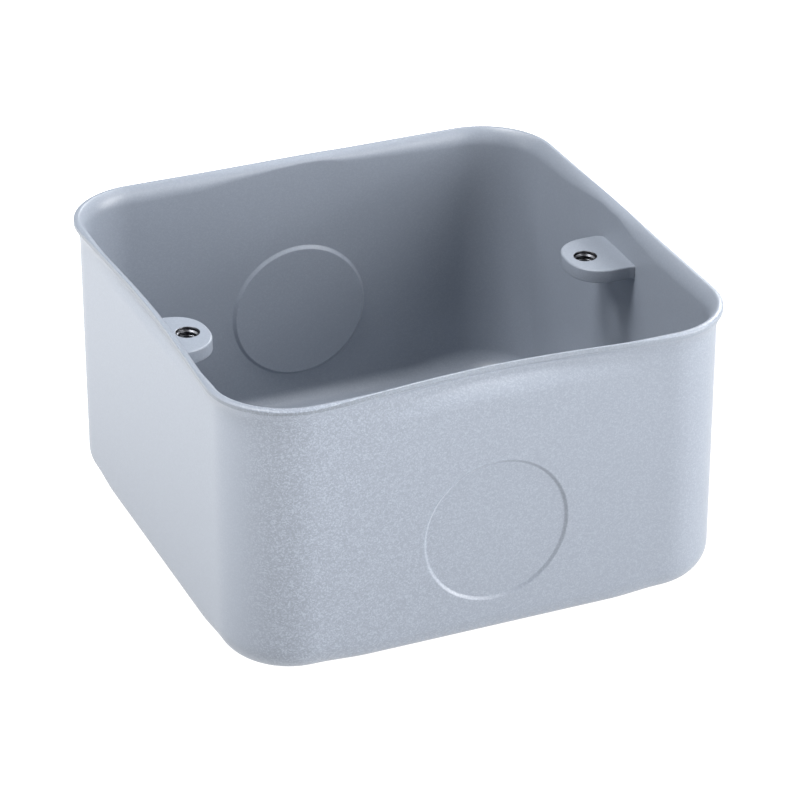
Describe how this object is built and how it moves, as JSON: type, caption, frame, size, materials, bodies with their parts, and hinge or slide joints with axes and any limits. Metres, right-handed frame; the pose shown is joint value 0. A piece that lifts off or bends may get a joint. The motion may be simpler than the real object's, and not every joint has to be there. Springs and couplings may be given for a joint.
{
  "type": "metal back box",
  "caption": "Square drawn-steel back box, open at the front, with a stepped rim, half-sheared conduit knock-outs, tapped fixing lugs and an earth terminal.",
  "frame": {"origin": "middle of the base's underside, where the box lies against a wall", "axes": "+Z out of the open mouth, away from the wall; the fixing lugs lie along X; the wall knock-outs face -Y and +Y"},
  "size_m": [0.074, 0.074, 0.041],
  "materials": {
    "silver_grey_paint": "satin silver-grey stoved paint on drawn steel",
    "terminal_brass": "machined"
  },
  "bodies": {
    "root": {"shell": "silver_grey_paint", "lug_left": "silver_grey_paint", "lug_right": "silver_grey_paint", "earth_terminal": "terminal_brass", "earth_screw": "terminal_brass"}
  },
  "joints": []
}
